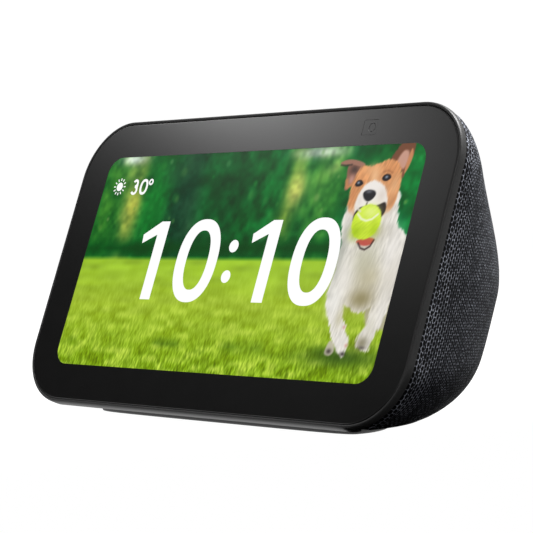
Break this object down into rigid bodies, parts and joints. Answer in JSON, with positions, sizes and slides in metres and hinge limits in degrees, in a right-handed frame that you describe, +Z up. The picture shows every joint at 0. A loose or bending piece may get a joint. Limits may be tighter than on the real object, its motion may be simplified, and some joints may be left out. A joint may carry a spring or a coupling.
{
  "type": "smart display",
  "caption": "Small wedge-shaped smart display: tilted glass touch screen in a plastic frame, fabric-covered domed rear, top buttons, camera shutter, rubber foot.",
  "frame": {"origin": "centre of the bounding box's underside, on the surface it stands on", "axes": "+X to the right along the screen's width, +Y to the rear, +Z up"},
  "size_m": [0.147, 0.091, 0.082],
  "materials": {
    "cover_glass": "satin anti-reflective cover glass over a printed black border",
    "adhesive": "black foam tape",
    "screen": "lit colour screen",
    "backlight": "white light guide",
    "steel_sheet": "stamped steel",
    "frame_plastic": "fine-textured charcoal plastic",
    "black_part": "black moulding",
    "lens_glass": "coated lens",
    "flex_film": "amber film with copper tracks",
    "shutter_white": "white blade",
    "button_plastic": "satin charcoal plastic",
    "ivory_plastic": "ivory moulding",
    "circuit_board": "green solder mask",
    "soft_rubber": "soft rubber",
    "sensor_metal": "plated cans",
    "screw_steel": "zinc plated",
    "inner_plastic": "glass-filled plastic",
    "thermal_pad": "soft silicone pad",
    "spreader_aluminium": "plain aluminium",
    "knit_fabric": "charcoal open knit",
    "base_plastic": "fine-textured black plastic",
    "foot_rubber": "matt black rubber",
    "magnet_nickel": "nickel plated",
    "lead_red": "insulated wire",
    "coil_copper": "enamelled copper winding",
    "cone_paper": "pressed paper",
    "spider_cloth": "resin-treated cloth"
  },
  "bodies": {
    "housing": {"cover_glass": "cover_glass", "glass_adhesive": "adhesive", "lcd_panel": "screen", "backlight_unit": "backlight", "display_tray": "steel_sheet", "front_frame": "frame_plastic", "camera_module": "black_part", "camera_lens": "lens_glass", "camera_flex": "flex_film", "light_sensor": "black_part", "button_deck": "frame_plastic", "tact_switches": "black_part", "button_board": "circuit_board", "button_flex": "flex_film", "mic_seals": "soft_rubber", "microphones": "sensor_metal", "deck_screws": "screw_steel", "chassis": "inner_plastic", "chassis_screws": "screw_steel", "main_board": "circuit_board", "board_chips": "black_part", "shield_can": "steel_sheet", "thermal_pad": "thermal_pad", "heat_spreader": "spreader_aluminium", "board_screws": "screw_steel", "wifi_antennas": "flex_film", "display_flex": "flex_film", "rear_shell": "inner_plastic", "fabric_cover": "knit_fabric", "base_plate": "base_plastic", "foot_pad": "foot_rubber", "base_magnets": "magnet_nickel", "base_screws": "screw_steel", "dc_jack": "black_part", "jack_pin": "sensor_metal", "jack_bezel": "base_plastic", "jack_leads": "lead_red", "speaker_enclosure": "inner_plastic", "speaker_gasket": "soft_rubber", "speaker_basket": "steel_sheet", "speaker_magnet": "magnet_nickel", "speaker_yoke": "screw_steel", "speaker_top_plate": "screw_steel", "cone_surround": "soft_rubber", "spider": "spider_cloth", "speaker_screws": "screw_steel", "speaker_leads": "lead_red"},
    "shutter": {"shutter_knob": "button_plastic", "shutter_blade": "shutter_white"},
    "volume_down": {"volume_down_button": "button_plastic", "volume_down_plunger": "ivory_plastic"},
    "volume_up": {"volume_up_button": "button_plastic", "volume_up_plunger": "ivory_plastic"},
    "mute": {"mute_button": "button_plastic", "mute_plunger": "ivory_plastic"},
    "speaker_diaphragm": {"speaker_cone": "cone_paper", "dust_cap": "cone_paper", "voice_coil": "coil_copper"}
  },
  "joints": [
    {"name": "shutter_slide", "type": "slide", "parent": "housing", "child": "shutter", "axis": [1, 0, 0], "range_m": [0, 0.0062]},
    {"name": "volume_down_press", "type": "slide", "parent": "housing", "child": "volume_down", "axis": [0, -0.342, -0.9397], "range_m": [0, 0.0004], "stiffness_N_per_m": 3000, "springref_m": -0.0001},
    {"name": "volume_up_press", "type": "slide", "parent": "housing", "child": "volume_up", "axis": [0, -0.342, -0.9397], "range_m": [0, 0.0004], "stiffness_N_per_m": 3000, "springref_m": -0.0001},
    {"name": "mute_press", "type": "slide", "parent": "housing", "child": "mute", "axis": [0, -0.342, -0.9397], "range_m": [0, 0.0004], "stiffness_N_per_m": 3000, "springref_m": -0.0001},
    {"name": "diaphragm_travel", "type": "slide", "parent": "housing", "child": "speaker_diaphragm", "axis": [0, 0.8192, 0.5736], "range_m": [-0.0012, 0.0012], "stiffness_N_per_m": 1200, "deforming": ["cone_surround", "spider"]}
  ]
}
